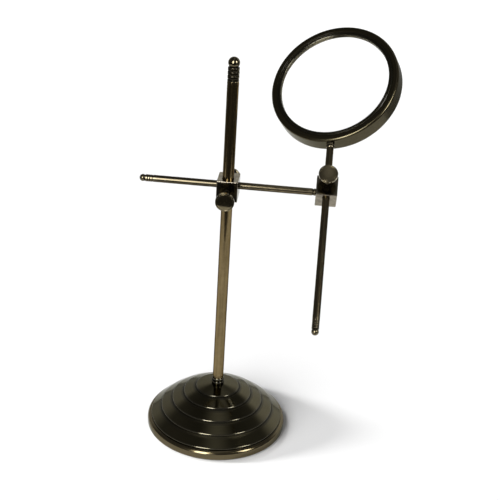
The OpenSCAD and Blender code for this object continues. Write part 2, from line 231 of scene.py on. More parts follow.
def refine(points, closed=False, near=0.12, step=3.0):
    """Adds points close to each vertex of a long stretch, so that shading and wear stay local."""
    count = len(points)
    out = []
    for i in range(count if closed else count - 1):
        a, b = points[i], points[(i + 1) % count]
        d, length = unit(a, b)
        out.append(a)
        stops = [near, length - near] if length > 4 * near else []
        if length > 12 * near:
            inner = int((length - 8 * near) / step)
            stops[1:1] = [4 * near + (length - 8 * near) * k / (inner + 1) for k in range(inner + 2)]
        out += [(a[0] + d[0] * s, a[1] + d[1] * s) for s in stops]
    if not closed:
        out.append(points[-1])
    return out


def marks(points, closed, reach=1.0):
    """Wear on the crests and grime in the hollows of a profile, and the length along it."""
    count = len(points)
    lengths = [0.0]
    for i in range(1, count):
        lengths.append(lengths[-1] + unit(points[i - 1], points[i])[1])
    span = lengths[-1] + (unit(points[-1], points[0])[1] if closed else 0)
    turns = []
    for i in range(count):
        end = not closed and i in (0, count - 1)
        turns.append(0.0 if end else turn_at(points[i - 1], points[i], points[(i + 1) % count]))
    along, turned = np.array(lengths), np.array(turns)
    apart = np.abs(along[:, None] - along[None, :])
    if closed:
        apart = np.minimum(apart, span - apart)
    total = (np.clip(1 - apart / reach, 0, 1) * turned[None, :]).sum(1)
    return np.clip(total / FULL_WEAR, 0, 1), np.clip(-total / FULL_GRIME, 0, 1), along


def tube(rows, count):
    """Faces of a tube made of rows rings of count points, closed at both ends."""
    faces = []
    for i in range(rows - 1):
        low, high = i * count, (i + 1) * count
        faces += [(low + k, low + (k + 1) % count, high + (k + 1) % count, high + k) for k in range(count)]
    faces.append(tuple(range(count - 1, -1, -1)))
    faces.append(tuple(range((rows - 1) * count, rows * count)))
    return faces


def circle(r, z, count):
    """Points round the axis at one height."""
    angles = [math.tau * k / count for k in range(count)]
    return [(r * math.cos(a), r * math.sin(a), z) for a in angles]


def put(obj, name, values):
    """Stores one number for each vertex."""
    attribute = obj.data.attributes.new(name, "FLOAT", "POINT")
    attribute.data.foreach_set("value", np.asarray(values, np.float32))


def finish_piece(obj, node, material, where=None):
    """Moves a piece to its place, with its material and body, and hides the node that it stands for.

    Its material reads the coordinates from before the move.
    """
    obj.data.materials.append(material)
    where = where or Matrix.Identity(4)
    own = obj.data.attributes.new("own", "FLOAT_VECTOR", "POINT")
    own.data.foreach_set("vector", np.array([v.co for v in obj.data.vertices], np.float32).ravel())
    obj.data.transform(where)
    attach(obj, BODY_OF[node])
    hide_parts(node)
    return obj


def mesh_object(name, verts, faces):
    mesh = bpy.data.meshes.new(name)
    mesh.from_pydata([tuple(c * MM for c in v) for v in verts], [], faces)
    mesh.validate()
    work = bmesh.new()
    work.from_mesh(mesh)
    bmesh.ops.recalc_face_normals(work, faces=work.faces)
    work.to_mesh(mesh)
    work.free()
    mesh.polygons.foreach_set("use_smooth", [True] * len(mesh.polygons))
    obj = bpy.data.objects.new(name, mesh)
    bpy.context.scene.collection.objects.link(obj)
    return obj


def lathe(name, points, edge=0.15, closed=False, segments=160, reach=1.0, shaded_at=(), shade_reach=1.2):
    """Turns a profile about +Z. Points on the axis become poles.

    Painted shade also lies round each listed groove point, out to the given reach, and fades over the last quarter
    of that; it darkens the groove, the lip beside it and their reflections, and is stored with the grime of the
    hollows.
    """
    profile = refine(soften(points, edge, closed), closed)
    worn, grime_and_shade_share, along = marks(profile, closed, reach)
    # Painted shade round the listed groove points, kept together with the grime of the hollows
    for spot in shaded_at:
        grime_and_shade_share = np.maximum(grime_and_shade_share, [limit((shade_reach - math.dist(p, spot)) / (0.25 * shade_reach)) for p in profile])
    verts, rings, wear, grime_and_shade, turn = [], [], [], [], []
    for i, (r, z) in enumerate(profile):
        single = r < 1e-4
        count = 1 if single else segments
        rings.append((len(verts), single))
        verts += circle(r, z, count)
        wear += [worn[i]] * count
        grime_and_shade += [grime_and_shade_share[i]] * count
        turn += [along[i] * MM] * count
    faces = []
    for i in range(len(profile) if closed else len(profile) - 1):
        (a, a_one), (b, b_one) = rings[i], rings[(i + 1) % len(profile)]
        if a_one and b_one:
            continue
        for k in range(segments):
            n = (k + 1) % segments
            if a_one:
                faces.append((a, b + n, b + k))
            elif b_one:
                faces.append((a + k, a + n, b))
            else:
                faces.append((a + k, a + n, b + n, b + k))
    obj = mesh_object(name, verts, faces)
    put(obj, "wear", wear)
    put(obj, "grime_and_shade", grime_and_shade)
    put(obj, "turn", turn)
    return obj


# Places, from the frame's joints


def place(origin, z_axis, x_axis):
    """A matrix whose +Z is z_axis and whose +X is as near x_axis as it can be."""
    z = Vector(z_axis).normalized()
    y = z.cross(Vector(x_axis)).normalized()
    x = y.cross(z)
    matrix = Matrix((x, y, z)).transposed().to_4x4()
    matrix.translation = Vector(origin)
    return matrix


def move(x, y, z):
    return Matrix.Translation((x * MM, y * MM, z * MM))


def spin(degrees, axis):
    return Matrix.Rotation(math.radians(degrees), 4, axis)


UP = Vector((0, 0, 1))
ALONG = Vector((1, 0, 0))
ROD_AXIS = Vector(JOINTS["rod_slide"]["axis"])
ROD_ORIGIN = Vector(JOINTS["lens_turn"]["pos_m"])
AT_POST = Matrix.Identity(4)
AT_ARM = place((0, ARM_Y * MM, ARM_Z * MM), ALONG, UP)
AT_ROD = place(ROD_ORIGIN, ROD_AXIS, ALONG)
AT_LENS_CLAMP = AT_ROD @ move(0, ROD_Y, 0)
AT_LENS = AT_ROD @ move(0, 0, LENS_UP) @ spin(-TWIST, "Z") @ spin(90, "X")


def at_screw(joint, turn):
    """A screw's place: +Z outwards, starting on the block's face."""
    found = JOINTS[joint]
    return place(found["pos_m"], found["axis"], ALONG) @ spin(turn, "Z")


# Materials


class Nodes:
    """A short way to write a material's nodes. Noise scales are in cells for each metre."""

    def __init__(self, name, own=True):
        self.material = bpy.data.materials.new(name)
        self.material.use_nodes = True
        self.tree = self.material.node_tree
        self.shader = self.tree.nodes["Principled BSDF"]
        self.coords = self.attribute("own", "Vector") if own else self.node("TexCoord").outputs["Object"]

    def node(self, kind, inputs=None, **settings):
        made = self.tree.nodes.new("ShaderNode" + kind)
        for key, value in settings.items():
            setattr(made, key, value)
        for key, value in (inputs or {}).items():
            self.set(made.inputs[key], value)
        return made

    def set(self, socket, value):
        if isinstance(value, bpy.types.NodeSocket):
            self.tree.links.new(value, socket)
        else:
            socket.default_value = value

    def attribute(self, name, output="Fac"):
        return self.node("Attribute", attribute_name=name).outputs[output]

    def scaled(self, scale):
        return self.node("Mapping", {"Vector": self.coords, "Scale": scale}).outputs["Vector"]

    def noise(self, scale, vector=None, detail=3.0, rough=0.5, distortion=0.0):
        inputs = {"Vector": vector or self.coords, "Scale": scale, "Detail": detail}
        inputs |= {"Roughness": rough, "Distortion": distortion}
        return self.node("TexNoise", inputs).outputs["Fac"]

    def lines(self, attribute, scale, detail=2.0):
        """Noise along one number, such as the length along a profile."""
        inputs = {"W": self.attribute(attribute), "Scale": scale, "Detail": detail}
        return self.node("TexNoise", inputs, noise_dimensions="1D").outputs["Fac"]

    def fit(self, value, low, high, to_low=0.0, to_high=1.0):
        inputs = {"Value": value, "From Min": low, "From Max": high, "To Min": to_low, "To Max": to_high}
        return self.node("MapRange", inputs).outputs["Result"]

    def maths(self, operation, a, b=0.0):
        made = self.node("Math", operation=operation)
        self.set(made.inputs[0], a)
        self.set(made.inputs[1], b)
        return made.outputs[0]

    def mix(self, share, a, b):
        made = self.node("Mix", data_type="RGBA")
        self.set(made.inputs["Factor"], share)
        self.set(made.inputs["A"], a)
        self.set(made.inputs["B"], b)
        return made.outputs["Result"]

    def bump(self, height, distance, strength=1.0, below=None):
        inputs = {"Height": height, "Distance": distance, "Strength": strength}
        if below is not None:
            inputs["Normal"] = below
        return self.node("Bump", inputs).outputs["Normal"]

    def finish(self, **sockets):
        for key, value in sockets.items():
            self.set(self.shader.inputs[key.replace("_", " ")], value)
        return self.material


# The near-black of grime in the hollows, also used for painted shade in grooves
SOOT_AND_SHADE = (0.006, 0.005, 0.003, 1)


def bronze(name, deep, main, worn, gloss, lacquer=0.1, spun=True, worn_share=0.7, edge=0.7, bare_and_sheen=None):
    """Antique bronze under thin lacquer: a faint patina, dark in the hollows and with painted shade in some
    grooves, rubbed lighter on the edges.

    Its streaks run round a spun piece and along any other. edge is how bright it is at a glancing angle, and the
    bare colour is that of metal where the patina is polished off, and of a painted sheen where a piece is
    lightened to stand in for reflected light.
    """
    n = Nodes(name)
    patina = n.fit(n.noise(55.0, detail=4.0, rough=0.6, distortion=0.4), 0.32, 0.68)
    cloud = n.fit(n.noise(240.0, detail=3.0, rough=0.6), 0.35, 0.7)
    fine = n.noise(2600.0, detail=2.0)
    if spun:
        rings, bands = n.lines("turn", 5200.0), n.lines("turn", 1100.0)
    else:
        rings = n.noise(900.0, n.scaled((1.0, 1.0, 0.04)), detail=2.0)
        bands = n.noise(420.0, n.scaled((1.0, 1.0, 0.05)), detail=2.0)
    bands = n.fit(bands, 0.35, 0.65)
    blotches = n.maths("ADD", n.maths("MULTIPLY", patina, 0.35), n.maths("MULTIPLY", cloud, 0.2))
    blotches = n.maths("ADD", blotches, n.maths("MULTIPLY", bands, 0.45))
    colour = n.mix(blotches, (*deep, 1), (*main, 1))
    # Bare metal and painted sheen: a lighter colour where the piece's attribute asks for it
    if bare_and_sheen:
        bare_and_sheen_colour = n.mix(cloud, (*(0.55 * c for c in bare_and_sheen), 1), (*bare_and_sheen, 1))
        colour = n.mix(n.attribute("bare_and_sheen"), colour, bare_and_sheen_colour)
    rub = n.maths("MULTIPLY", n.attribute("wear"), n.fit(fine, 0.3, 0.62, 0.45, 1.0))
    colour = n.mix(n.maths("MULTIPLY", rub, worn_share), colour, (*worn, 1))
    # Grime in the hollows and painted shade in the grooves darken the colour towards near-black
    grime_and_shade = n.attribute("grime_and_shade")
    colour = n.mix(n.maths("MULTIPLY", grime_and_shade, 0.85), colour, SOOT_AND_SHADE)
    rough = n.fit(rings, 0.25, 0.75, gloss - 0.02, gloss + 0.03)
    rough = n.maths("ADD", rough, n.maths("MULTIPLY", grime_and_shade, 0.3))
    rough = n.maths("ADD", rough, n.fit(patina, 0.0, 1.0, 0.02, -0.01))
    surface = n.bump(n.maths("ADD", rings, n.maths("MULTIPLY", fine, 0.25)), 0.000006)
    return n.finish(
        Base_Color=colour, Metallic=1.0, Roughness=rough, Specular_Tint=(edge, edge, edge * 0.92, 1),
        Coat_Weight=lacquer, Coat_Roughness=0.04, Normal=surface,
    )


DARK = bronze(
    "dark_bronze", (0.058, 0.049, 0.024), (0.080, 0.070, 0.036), (0.12, 0.113, 0.095),
    gloss=0.10, lacquer=0.3, worn_share=0.5, edge=0.55,
)
TURNED = bronze(
    "turned_bronze", (0.075, 0.060, 0.032), (0.110, 0.092, 0.054), (0.19, 0.16, 0.105),
    gloss=0.10, lacquer=0.2,
)
# Its bare colour lightens the sawn ends: bare metal and a painted reflection
BLOCK = bronze(
    "block_bronze", (0.050, 0.043, 0.030), (0.075, 0.065, 0.046), (0.24, 0.21, 0.16),
    gloss=0.15, spun=False, bare_and_sheen=(0.34, 0.30, 0.235),
)
POST = bronze(
    "post_bronze", (0.11, 0.080, 0.035), (0.235, 0.176, 0.086), (0.30, 0.24, 0.14),
    gloss=0.13, spun=False, edge=0.12,
)
ROD = bronze(
    "rod_bronze", (0.075, 0.058, 0.032), (0.155, 0.125, 0.074), (0.26, 0.22, 0.15),
    gloss=0.15, spun=False, edge=0.15,
)
# Its bare colour lightens the arm towards the lens: rubbed-off patina and a painted highlight
ARM = bronze(
    "arm_bronze", (0.050, 0.040, 0.022), (0.066, 0.056, 0.036), (0.14, 0.12, 0.08),
    gloss=0.14, spun=False, edge=0.6, bare_and_sheen=(0.17, 0.138, 0.080),
)
RIM = bronze(
    "rim_bronze", (0.085, 0.065, 0.030), (0.112, 0.090, 0.046), (0.16, 0.135, 0.085),
    gloss=0.16, lacquer=0.3, edge=0.5,
)
KNOB = bronze(
    "knob_bronze", (0.115, 0.090, 0.045), (0.20, 0.172, 0.108), (0.22, 0.19, 0.13),
    gloss=0.085, lacquer=0.2, worn_share=0.3,
)
RING = bronze(
    "ring_bronze", (0.048, 0.040, 0.021), (0.074, 0.062, 0.036), (0.08, 0.068, 0.04),
    gloss=0.24, worn_share=0.3,
)
# A darker copy of the bronze: painted shade for the collar at the post's foot
SHADED_COLLAR_BRONZE = bronze(
    "collar_bronze_painted_shade", (0.026, 0.022, 0.012), (0.042, 0.036, 0.021), (0.08, 0.07, 0.045),
    gloss=0.09, lacquer=0.4, edge=0.3,
)


def steel():
    n = Nodes("plain_steel", own=False)
    fine = n.noise(2200.0, detail=3.0)
    colour = n.mix(n.fit(n.noise(160.0), 0.35, 0.7), (0.42, 0.41, 0.39, 1), (0.56, 0.55, 0.53, 1))
    rough = n.fit(fine, 0.3, 0.7, 0.25, 0.4)
    return n.finish(Base_Color=colour, Metallic=1.0, Roughness=rough, Normal=n.bump(fine, 0.00001))


def cast_iron():
    n = Nodes("cast_iron", own=False)
    grain = n.noise(900.0, detail=4.0, rough=0.65)
    colour = n.mix(grain, (0.05, 0.05, 0.05, 1), (0.16, 0.155, 0.15, 1))
    rough = n.fit(grain, 0.2, 0.8, 0.5, 0.75)
    return n.finish(Base_Color=colour, Metallic=0.7, Roughness=rough, Normal=n.bump(grain, 0.0002))


def felt():
    n = Nodes("green_felt")
    tuft = n.noise(1500.0, detail=5.0, rough=0.7, distortion=1.2)
    colour = n.mix(n.fit(tuft, 0.3, 0.7), (0.015, 0.05, 0.025, 1), (0.05, 0.13, 0.07, 1))
    nap = n.bump(tuft, 0.0003)
    return n.finish(Base_Color=colour, Roughness=0.95, Sheen_Weight=0.6, Sheen_Roughness=0.5, Normal=nap)


def glass():
    n = Nodes("lens_glass")
    haze = n.fit(n.noise(35.0, detail=4.0), 0.45, 0.75, 0.0, 0.015)
    return n.finish(Base_Color=(1.0, 1.0, 1.0, 1), Roughness=haze, IOR=1.47, Transmission_Weight=1.0)


STEEL = steel()
IRON = cast_iron()
FELT = felt()
GLASS = glass()


# Base


def uphill(a):
    """The direction up a slope of a degrees."""
    return -math.cos(math.radians(a)), math.sin(math.radians(a))


def outward(a):
    """The direction straight out of a slope of a degrees."""
    return math.sin(math.radians(a)), math.cos(math.radians(a))


def step(p, along, direction):
    return p[0] + along * direction[0], p[1] + along * direction[1]


def slope(k):
    return SLOPE_LOW + (SLOPE_HIGH - SLOPE_LOW) * k / (TERRACES - 1)


def dome_feet():
    """The grooves at the foot of each terrace and of the cap."""
    feet = [(GROOVE_R, RIM_H)]
    for k in range(TERRACES):
        feet.append(step(feet[-1], TERRACE_LEN, uphill(slope(k))))
    return feet


TERRACE_LEN = (GROOVE_R - CAP_R) / sum(math.cos(math.radians(slope(k))) for k in range(TERRACES))
CAP_LEN = (CAP_R - NECK_R) / math.cos(math.radians(SLOPE_CAP))
FEET = dome_feet()
DOME_TOP = FEET[-1][1] + CAP_LEN * math.sin(math.radians(SLOPE_CAP))


def terrace(foot, angle, length):
    """One terrace from its groove up to the next: a rounded lip and a straight slope."""
    mid = step(step(foot, GROOVE_W / 2 + LIP_R, uphill(angle)), LIP_STEP - LIP_R, outward(angle))
    lip = arc(mid, LIP_R, -angle, 90 - angle, 12)
    far = step(foot, length - GROOVE_W / 2, uphill(angle))
    return [step(foot, GROOVE_W / 2, uphill(angle)), *lip, step(far, GROOVE_RISE, outward(angle)), far]


def inner(k, depth):
    """A point inside the shell, depth behind foot k."""
    mean = 0 if k == 0 else (slope(k - 1) + (SLOPE_CAP if k == TERRACES else slope(k))) / 2
    return step(FEET[k], -depth, (1, 0) if k == 0 else outward(mean))


def make_base():
    seat = (GROOVE_R - RIM_LAP, RIM_H - RIM_SEAT)
    outside = [seat]
    for k in range(TERRACES):
        outside += terrace(FEET[k], slope(k), TERRACE_LEN)
    outside += [p for p in terrace(FEET[-1], SLOPE_CAP, CAP_LEN) if p[0] > NECK_R + GROOVE_W]
    bore, boss_low = STUD_R + STUD_PLAY, DOME_TOP - BOSS_T
    hub = [(NECK_R, DOME_TOP), (bore, DOME_TOP), (bore, boss_low), (NECK_R, boss_low)]
    inside = [inner(k, SHELL_T) for k in range(TERRACES, 0, -1)]
    inside += [inner(0, SHELL_T + RIM_LAP), (seat[0] - SHELL_T, seat[1])]
    shell = outside + hub + inside
    # Painted shade in each groove darkens the lower half of the lip above it and its reflection
    dome = lathe("dome", shell, edge=0.12, closed=True, segments=256, reach=0.9, shaded_at=FEET)
    finish_piece(dome, "base_shell", DARK)

    hole_r, groove_out, groove_in, groove_low = FLANGE_R + 0.2, GROOVE_R + 0.15, GROOVE_R - 0.21, RIM_H - 0.8
    roll = arc((BASE_R - RIM_W, RIM_WIDEST), RIM_W, 0, 78, 20, (RIM_H - RIM_WIDEST) / RIM_W)
    profile = [(hole_r, RIM_LIFT), (BASE_R - 1, RIM_LIFT), (BASE_R, RIM_LIFT + 1), *roll]
    profile += [(groove_out, RIM_H), (groove_out, groove_low), (groove_in, groove_low)]
    profile += [(groove_in, RIM_H - RIM_SEAT), (hole_r, RIM_H - RIM_SEAT)]
    rim = finish_piece(lathe("rolled_rim", profile, edge=0.2, closed=True, segments=256), "base_rim", RIM)

    felt_r = FLANGE_R - FELT_INSET
    pad = [(0, 0), (felt_r, 0), (felt_r, FELT_T), (0, FELT_T)]
    finish_piece(lathe("felt", pad, edge=0.5, segments=128), "felt_pad", FELT)
    return dome, rim


def make_collar():
    """A wide bead under a slim one."""
    low, half, slim_r = DOME_TOP, COLLAR_H / 2, COLLAR_R - 0.3
    wide_bend, slim_bend, rise = 0.6, 0.5, half / 2 - 0.15
    bore = POST_R + SEAT_GAP
    wide = arc((COLLAR_R - wide_bend, low + half / 2), wide_bend, -75, 75, 12, rise / wide_bend)
    slim = arc((slim_r - slim_bend, low + 1.5 * half), slim_bend, -75, 75, 12, rise / slim_bend)
    profile = [(bore, low), (COLLAR_R - 0.5, low), *wide, (COLLAR_R - 0.75, low + half), *slim]
    profile += [(slim_r - 0.55, low + COLLAR_H), (bore, low + COLLAR_H)]
    collar = lathe("collar", profile, edge=0.1, closed=True, segments=96, reach=0.8)
    finish_piece(collar, "post_collar", SHADED_COLLAR_BRONZE)


# Bars and their finials


def bead(r, z, length):
    """A bead with a flat crest between two thin grooves."""
    bend, end = 0.15 * r, 0.02 * r
    low = arc((r - bend, z + end + bend), bend, -82, 0, 7)
    return low + arc((r - bend, z + length - end - bend), bend, 0, 82, 7)


def finial(name, node, r, where):
    """A narrow ring, three beads and a ball, no wider than the bar."""
    high, ring_len, bead_len = FINIAL_H * r, FINIAL_RING * r, FINIAL_BEAD * r
    neck, tenon, low = FINIAL_NECK * r, TENON_R * r, -TENON_LEN * r
    profile = [(0, low), (tenon - 0.3, low), (tenon, low + 0.3), (tenon - SEAT_GAP, 0), (r, 0)]
    profile += [(r, ring_len - 0.1 * r), (0.9 * r, ring_len)]
    grooves = [(neck, 0.05 * r + ring_len + i * bead_len) for i in range(4)]
    for groove in grooves[:3]:
        profile += [groove, *bead(r, groove[1], bead_len), step(groove, bead_len, (0, 1))]
    profile.append((neck, high - FINIAL_BALL * r))
    profile += arc((0, high - r), r, -38, 88, 24)
    profile.append((0, high))
    # Painted shade darkens the grooves between the beads
    turned = lathe(name, profile, edge=0.06, segments=96, reach=0.8, shaded_at=grooves, shade_reach=0.31 * r)
    finish_piece(turned, node, TURNED, where)


def bar(name, node, material, profile, where):
    finish_piece(lathe(name, profile, edge=0.2, segments=96), node, material, where)


def tenon_end(r, end, away):
    """A bar's end with the hole for its finial; away is 1 if the bar ends upwards and -1 if downwards."""
    deep = end - away * (TENON_LEN * r + 0.2)
    return [(r, end), (TENON_R * r, end), (TENON_R * r, deep), (0, deep)]


FLIP = spin(180, "X")


def make_bars():
    top = STAND_H - FINIAL_H * POST_R
    foot = DOME_TOP + REST_GAP
    stud = [(0, STUD_LOW), (STUD_R - 0.8, STUD_LOW), (STUD_R, STUD_LOW + 0.8), (STUD_R, foot)]
    bar("post_bar", "post", POST, [*stud, (POST_R, foot), *tenon_end(POST_R, top, 1)], AT_POST)
    finial("post_top", "post_finial", POST_R, AT_POST @ move(0, 0, top))

    # The arm has a scored ring next to the lens clamp, and goes into it with a spigot
    left = -ARM_LEFT + FINIAL_H * ARM_R
    end = LENS_X - BLOCK_W / 2 - REST_GAP
    mark, scored = end - 2.2, ARM_R - 0.5
    tip = end + SPIGOT_LEN
    ring = [(ARM_R, mark - 0.6), (scored, mark - 0.2), (scored, mark + 0.2), (ARM_R, mark + 0.6)]
    spigot = [(ARM_R, end - 0.4), (ARM_R - 0.4, end), (SPIGOT_R, end)]
    spigot += [(SPIGOT_R, tip - 0.4), (SPIGOT_R - 0.4, tip), (0, tip)]
    arm = lathe("arm_bar", [*reversed(tenon_end(ARM_R, left, -1)), *ring, *spigot], edge=0.2, segments=96)
    # Lighter towards the lens: rubbed-off patina and a painted highlight
    put(arm, "bare_and_sheen", [limit((v.co.z / MM - BARE_AND_SHEEN_FROM) / BARE_AND_SHEEN_OVER) for v in arm.data.vertices])
    finish_piece(arm, "arm", ARM, AT_ARM)
    finial("arm_tip", "arm_finial", ARM_R, AT_ARM @ move(0, 0, left) @ FLIP)

    low = -ROD_DOWN + FINIAL_H * ROD_R
    rod_top = LENS_UP - FRAME_R - REST_GAP
    tenon = [(ROD_R, rod_top), (ROD_R / 2, rod_top), (ROD_R / 2, rod_top + 4), (0, rod_top + 4)]
    bar("rod_bar", "lens_rod", ROD, [*reversed(tenon_end(ROD_R, low, -1)), *tenon], AT_ROD)
    finial("rod_tip", "rod_finial", ROD_R, AT_ROD @ move(0, 0, low) @ FLIP)

    # The ferrule: a bulb below and a band above
    bore, out, high = ROD_R + SEAT_GAP, ROD_R + FERRULE_WALL, rod_top - 0.15
    base = high - FERRULE_H
    ferrule = [(bore, base), (out - 0.45, base)]
    ferrule += arc((out - 0.5, base + 0.3 * FERRULE_H), 0.5, -80, 80, 14, 0.58 * FERRULE_H)
    ferrule += [(out - 0.4, base + 0.61 * FERRULE_H), (out, base + 0.66 * FERRULE_H)]
    ferrule += [(out, high - 0.2), (out - 0.2, high), (bore, high)]
    turned = lathe("ferrule", ferrule, edge=0.08, closed=True, segments=96, reach=0.8)
    finish_piece(turned, "rod_ferrule", TURNED, AT_ROD)


# Clamp blocks


def block_grid(low, high, ease, steps=4, cell=1.1):
    """Coordinates across a block: close together over its eased edges."""
    bend = [ease * math.tan(math.pi / 4 * (steps - i) / steps) for i in range(steps)]
    left = [low + ease - b for b in bend]
    count = max(1, round((high - low - 2 * ease) / cell))
    middle = [low + ease + (high - low - 2 * ease) * i / count for i in range(count + 1)]
    return left + middle + [high - ease + b for b in reversed(bend)]


def eased_block(name, lows, highs, ease):
    """A block whose edges are rounded, on a grid fine enough to carry its wear."""
    spans = [block_grid(lows[i], highs[i], ease) for i in range(3)]
    verts, faces, seen = [], [], {}

    def vertex(p):
        core = [min(max(p[i], lows[i] + ease), highs[i] - ease) for i in range(3)]
        off = Vector([p[i] - core[i] for i in range(3)])
        q = Vector(core) + (off.normalized() * ease if off.length > 1e-9 else off)
        key = tuple(round(c, 4) for c in q)
        if key not in seen:
            seen[key] = len(verts)
            verts.append(tuple(q))
        return seen[key]

    for axis in range(3):
        u, v = (axis + 1) % 3, (axis + 2) % 3
        for side in (lows[axis], highs[axis]):
            for i in range(len(spans[u]) - 1):
                for j in range(len(spans[v]) - 1):
                    corners = []
                    for a, b in ((i, j), (i + 1, j), (i + 1, j + 1), (i, j + 1)):
                        p = [0.0, 0.0, 0.0]
                        p[axis], p[u], p[v] = side, spans[u][a], spans[v][b]
                        corners.append(vertex(p))
                    corners = list(dict.fromkeys(corners))
                    if len(corners) > 2:
                        faces.append(tuple(corners))
    return mesh_object(name, verts, faces)


def cutter(radius, start, mouth):
    """A round bore with a flared mouth.

    One that starts at minus its mouth goes right through, and is flared at both ends.
    """
    wide = radius + FLARE
    through = [(wide, start - 1), (wide, start), (radius, start + FLARE)]
    profile = through if start == -mouth else [(radius, start)]
    profile += [(radius, mouth - FLARE), (wide, mouth), (wide, mouth + 1)]
    count = 72
    verts = [p for r, z in profile for p in circle(r, z, count)]
    return mesh_object("bore", verts, tube(len(profile), count))


def clamp_block(name, node, front, back, bores, where):
    """Cuts the bores out of an eased block and marks wear on its edges and mouths."""
    half = BLOCK_W / 2
    lows, highs = (-half, -front, -half), (half, back, half)
    block = eased_block(name, lows, highs, BLOCK_EASE)
    for radius, matrix, start, mouth in bores:
        tool = cutter(radius, start, mouth)
        tool.matrix_world = matrix
        modifier = block.modifiers.new("bore", "BOOLEAN")
        modifier.operation = "DIFFERENCE"
        modifier.solver = "EXACT"
        modifier.object = tool
        bpy.context.view_layer.update()
        cut = bpy.data.meshes.new_from_object(block.evaluated_get(bpy.context.evaluated_depsgraph_get()))
        block.modifiers.clear()
        block.data = cut
        bpy.data.objects.remove(tool)
    block.data.name = name
    block.data.polygons.foreach_set("use_smooth", [True] * len(block.data.polygons))
    co = np.array([v.co for v in block.data.vertices]) / MM
    near = np.sort(np.minimum(np.abs(co - np.array(lows)), np.abs(co - np.array(highs))), axis=1)
    wear = np.clip(1 - (near[:, 0] + near[:, 1]) / EDGE_WEAR, 0, 1)
    grime_and_shade = np.zeros(len(co))
    for radius, matrix, start, mouth in bores:
        local = np.array([matrix.inverted() @ v.co for v in block.data.vertices]) / MM
        off = np.hypot(local[:, 0], local[:, 1]) - radius
        depth = mouth - local[:, 2]
        if start == -mouth:
            depth = np.minimum(depth, local[:, 2] - start)
        rubbed = np.clip(1 - np.abs(off - FLARE) / MOUTH_WEAR, 0, 1) * (np.abs(depth) < MOUTH_WEAR)
        wear = np.maximum(wear, rubbed)
        grime_and_shade = np.maximum(grime_and_shade, np.clip(1 - off / BORE_GRIME, 0, 1) * (depth > FLARE + 0.05))
    put(block, "wear", wear)
    put(block, "grime_and_shade", grime_and_shade)
    put(block, "turn", co[:, 2] * MM)
    # The sawn ends, top and bottom, are painted light: bare metal, and a painted reflection that lightens these
    # faces
    put(block, "bare_and_sheen", np.clip(1 - (half - 0.25 - np.abs(co[:, 2])) / 0.3, 0, 1))
    sharpen(block)
    finish_piece(block, node, BLOCK, where)


def sharpen(obj, angle=40):
    """Keeps faces flat and marks edges that turn more than angle degrees as sharp."""
    work = bmesh.new()
    work.from_mesh(obj.data)
    for edge in work.edges:
        edge.smooth = len(edge.link_faces) != 2 or edge.calc_face_angle(0) < math.radians(angle)
    work.to_mesh(obj.data)
    work.free()
    modifier = obj.modifiers.new("flat_faces", "WEIGHTED_NORMAL")
    modifier.keep_sharp = True
    modifier.weight = 80


def make_blocks():
    half = BLOCK_W / 2
    along_x, forward, backward = spin(90, "Y"), spin(90, "X"), spin(-90, "X")
    post_bores = [
        (POST_R + PLAY, Matrix.Identity(4), -half, half),
        (ARM_R + PLAY, move(0, ARM_Y, 0) @ along_x, -half, half),
        (SCREW_R + PLAY, move(0, 0, -POST_SCREW_DROP) @ forward, 1, POST_FRONT),
        (SCREW_R + PLAY, move(0, ARM_Y, 0) @ backward, 1, POST_BACK - ARM_Y),
    ]
    clamp_block("post_clamp", "post_clamp_block", POST_FRONT, POST_BACK, post_bores, move(0, 0, ARM_Z))
    lens_bores = [
        (ROD_R + PLAY, move(0, -ROD_Y, 0), -half, half),
        (SPIGOT_R + PLAY, along_x.inverted(), half - SPIGOT_LEN - SPIGOT_ROOM, half),
        (SCREW_R + PLAY, move(0, -ROD_Y, ROD_SCREW_RISE) @ forward, 1, LENS_FRONT - ROD_Y),
    ]
    clamp_block("lens_clamp", "lens_clamp_block", LENS_FRONT, LENS_BACK, lens_bores, AT_LENS_CLAMP)


# Thumb screws


def make_knob(name, node, where):
    """A waisted neck and a round head, whose gently crowned face stands in a small chamfer."""
    back, front = KNOB_GAP, KNOB_GAP + KNOB_T
    bore, neck, round_r = SCREW_R + SEAT_GAP, KNOB_NECK_R, 1.1
    rim, face_r, steps = front - KNOB_CROWN, KNOB_R - 1.3, 14
    profile = [(bore, THREAD_SHOW), (neck - 0.5, THREAD_SHOW), (neck, THREAD_SHOW + 0.5)]
    profile += [(neck, back - 2.2), (neck - 0.7, back - 1.4), (neck + 0.5, back)]
    profile += arc((KNOB_R - round_r, back + 0.8 + round_r), round_r, -90, 0, 10)
    profile += [(KNOB_R, rim - 0.35), (KNOB_R - 0.2, rim - 0.1), (face_r + 0.15, rim), (face_r, rim - 0.12)]
    profile += [(face_r * k / steps, front - KNOB_CROWN * (k / steps) ** 2) for k in range(steps, -1, -1)]
    profile += [(0, front - KNOB_FACE_T), (bore, front - KNOB_FACE_T)]
    finish_piece(lathe(name, profile, edge=0.2, closed=True, segments=128), node, KNOB, where)


